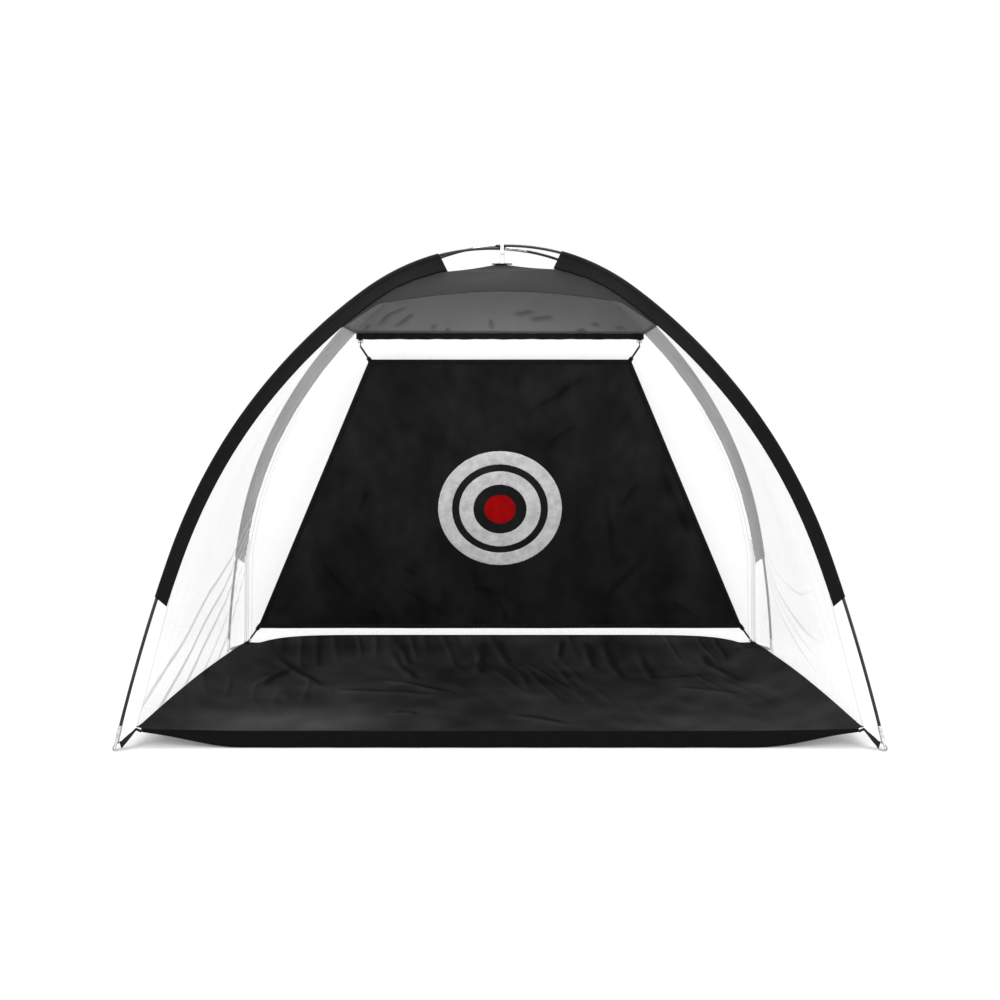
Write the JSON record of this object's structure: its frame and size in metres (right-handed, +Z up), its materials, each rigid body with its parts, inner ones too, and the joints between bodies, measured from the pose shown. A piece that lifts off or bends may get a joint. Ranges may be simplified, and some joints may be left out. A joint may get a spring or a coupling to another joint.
{
  "type": "golf chipping net",
  "caption": "Free-standing practice net: crossed flexible poles carry a cloth roof, mesh walls and a floor cloth, with a sloping ring target hung inside on elastic cords.",
  "frame": {"origin": "on the ground, under the crossing of the poles, in the middle of the four feet", "axes": "+X along the net's wide way, to the golfer's right; +Y to the back, away from the golfer; +Z up"},
  "size_m": [2.014, 1.0185, 1.4122],
  "materials": {
    "fibreglass": "satin black resin",
    "steel": "drawn tube",
    "dark_steel": "black coated wire",
    "elastic": "braided cover",
    "cover_cloth": "coated plain weave",
    "webbing": "ribbed webbing",
    "mesh_net": "fine open mesh",
    "clip_plastic": "moulded",
    "target_cloth": "dense plain weave",
    "print_grey": "loop pile",
    "print_red": "loop pile"
  },
  "bodies": {
    "net": {"pole_a_section_1": "fibreglass", "pole_a_section_2": "fibreglass", "pole_a_section_3": "fibreglass", "pole_a_section_4": "fibreglass", "pole_a_section_5": "fibreglass", "pole_a_section_6": "fibreglass", "pole_a_section_7": "fibreglass", "pole_a_section_8": "fibreglass", "pole_b_section_1": "fibreglass", "pole_b_section_2": "fibreglass", "pole_b_section_3": "fibreglass", "pole_b_section_4": "fibreglass", "pole_b_section_5": "fibreglass", "pole_b_section_6": "fibreglass", "pole_b_section_7": "fibreglass", "pole_b_section_8": "fibreglass", "pole_a_ferrules": "steel", "pole_b_ferrules": "steel", "pole_a_shock_cord": "elastic", "pole_b_shock_cord": "elastic", "pole_tip_front_left": "steel", "pole_tip_front_right": "steel", "pole_tip_back_left": "steel", "pole_tip_back_right": "steel", "sleeve_front_left": "cover_cloth", "sleeve_front_right": "cover_cloth", "sleeve_back_left": "cover_cloth", "sleeve_back_right": "cover_cloth", "roof_front": "cover_cloth", "roof_back": "cover_cloth", "roof_left": "cover_cloth", "roof_right": "cover_cloth", "roof_back_hem": "webbing", "peak_patch": "cover_cloth", "peak_loop": "webbing", "apex_clip": "clip_plastic", "net_left": "mesh_net", "net_right": "mesh_net", "net_back": "mesh_net", "floor_cloth": "cover_cloth", "floor_front_hem": "cover_cloth", "corner_straps": "webbing", "corner_rings": "steel", "hem_loops": "webbing", "hem_rings": "steel", "floor_loops": "webbing", "floor_rings": "steel", "bottom_hooks": "dark_steel", "bottom_cords": "elastic"},
    "target": {"target_cloth": "target_cloth", "target_binding": "webbing", "target_outer_ring": "print_grey", "target_inner_ring": "print_grey", "target_bullseye": "print_red", "target_tabs": "webbing", "top_hooks": "dark_steel", "top_cords": "elastic"}
  },
  "joints": [
    {"name": "target_swing", "type": "hinge", "parent": "net", "child": "target", "pos_m": [0, 0.11385, 1.10981], "axis": [1, 0, 0], "range_deg": [-5, 0.8], "stiffness_Nm_per_rad": 20, "springref_deg": 1.71, "deforming": ["bottom_cords"]}
  ]
}
